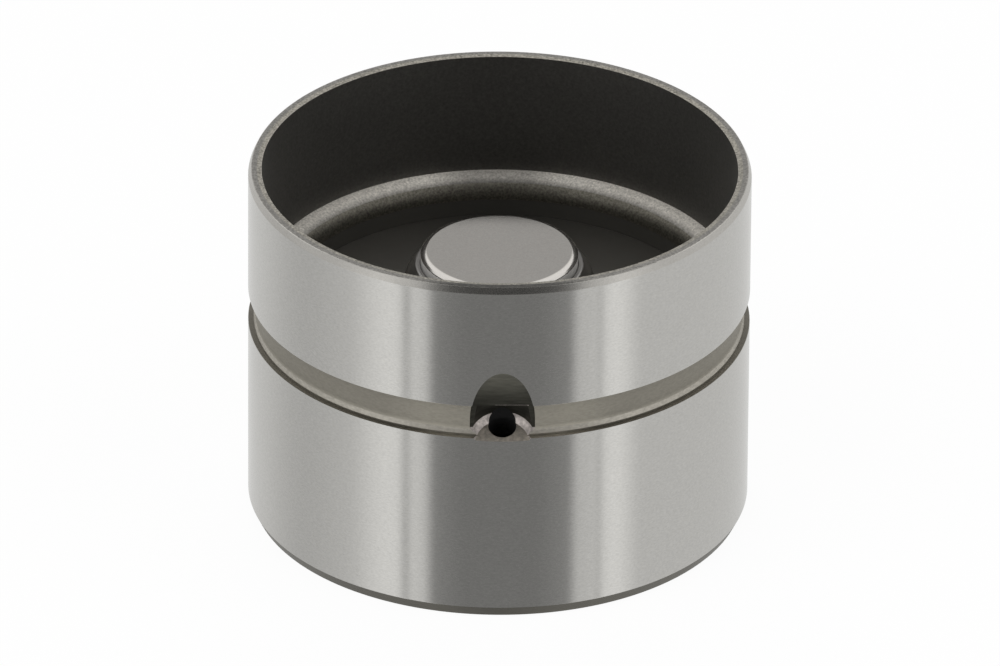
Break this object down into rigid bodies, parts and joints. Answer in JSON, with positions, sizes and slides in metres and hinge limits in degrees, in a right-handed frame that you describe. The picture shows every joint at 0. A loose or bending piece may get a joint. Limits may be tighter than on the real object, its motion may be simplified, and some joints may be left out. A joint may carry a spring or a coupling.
{
  "type": "hydraulic bucket tappet",
  "caption": "Cup-shaped hydraulic valve tappet with an oil groove and pocket outside and a spring-loaded lash element in a central guide sleeve.",
  "frame": {"origin": "centre of the flat cam face that the tappet stands on", "axes": "+Z along the tappet's axis from the cam face towards the open end; -Y towards the oil pocket"},
  "size_m": [0.035, 0.035, 0.026],
  "materials": {
    "ground_steel": "ground, with dark unground insides",
    "phosphated_steel": "dark phosphated",
    "element_steel": "satin ground",
    "hardened_steel": "fine ground",
    "ball_steel": "polished",
    "spring_wire": "drawn wire"
  },
  "bodies": {
    "bucket": {"bucket_shell": "ground_steel", "guide_web": "phosphated_steel", "piston": "hardened_steel", "ball_cap": "hardened_steel", "return_spring": "spring_wire", "ball_spring": "spring_wire"},
    "lash_element": {"cylinder": "element_steel", "retaining_ring": "spring_wire"},
    "valve_ball": {"check_ball": "ball_steel"}
  },
  "joints": [
    {"name": "lash_travel", "type": "slide", "parent": "bucket", "child": "lash_element", "axis": [0, 0, -1], "range_m": [0, 0.0025], "stiffness_N_per_m": 2000, "springref_m": -0.003, "deforming": ["return_spring"]},
    {"name": "check_ball_lift", "type": "slide", "parent": "bucket", "child": "valve_ball", "axis": [0, 0, 1], "range_m": [0, 0.0002], "stiffness_N_per_m": 40, "springref_m": -0.001, "deforming": ["ball_spring"]}
  ]
}
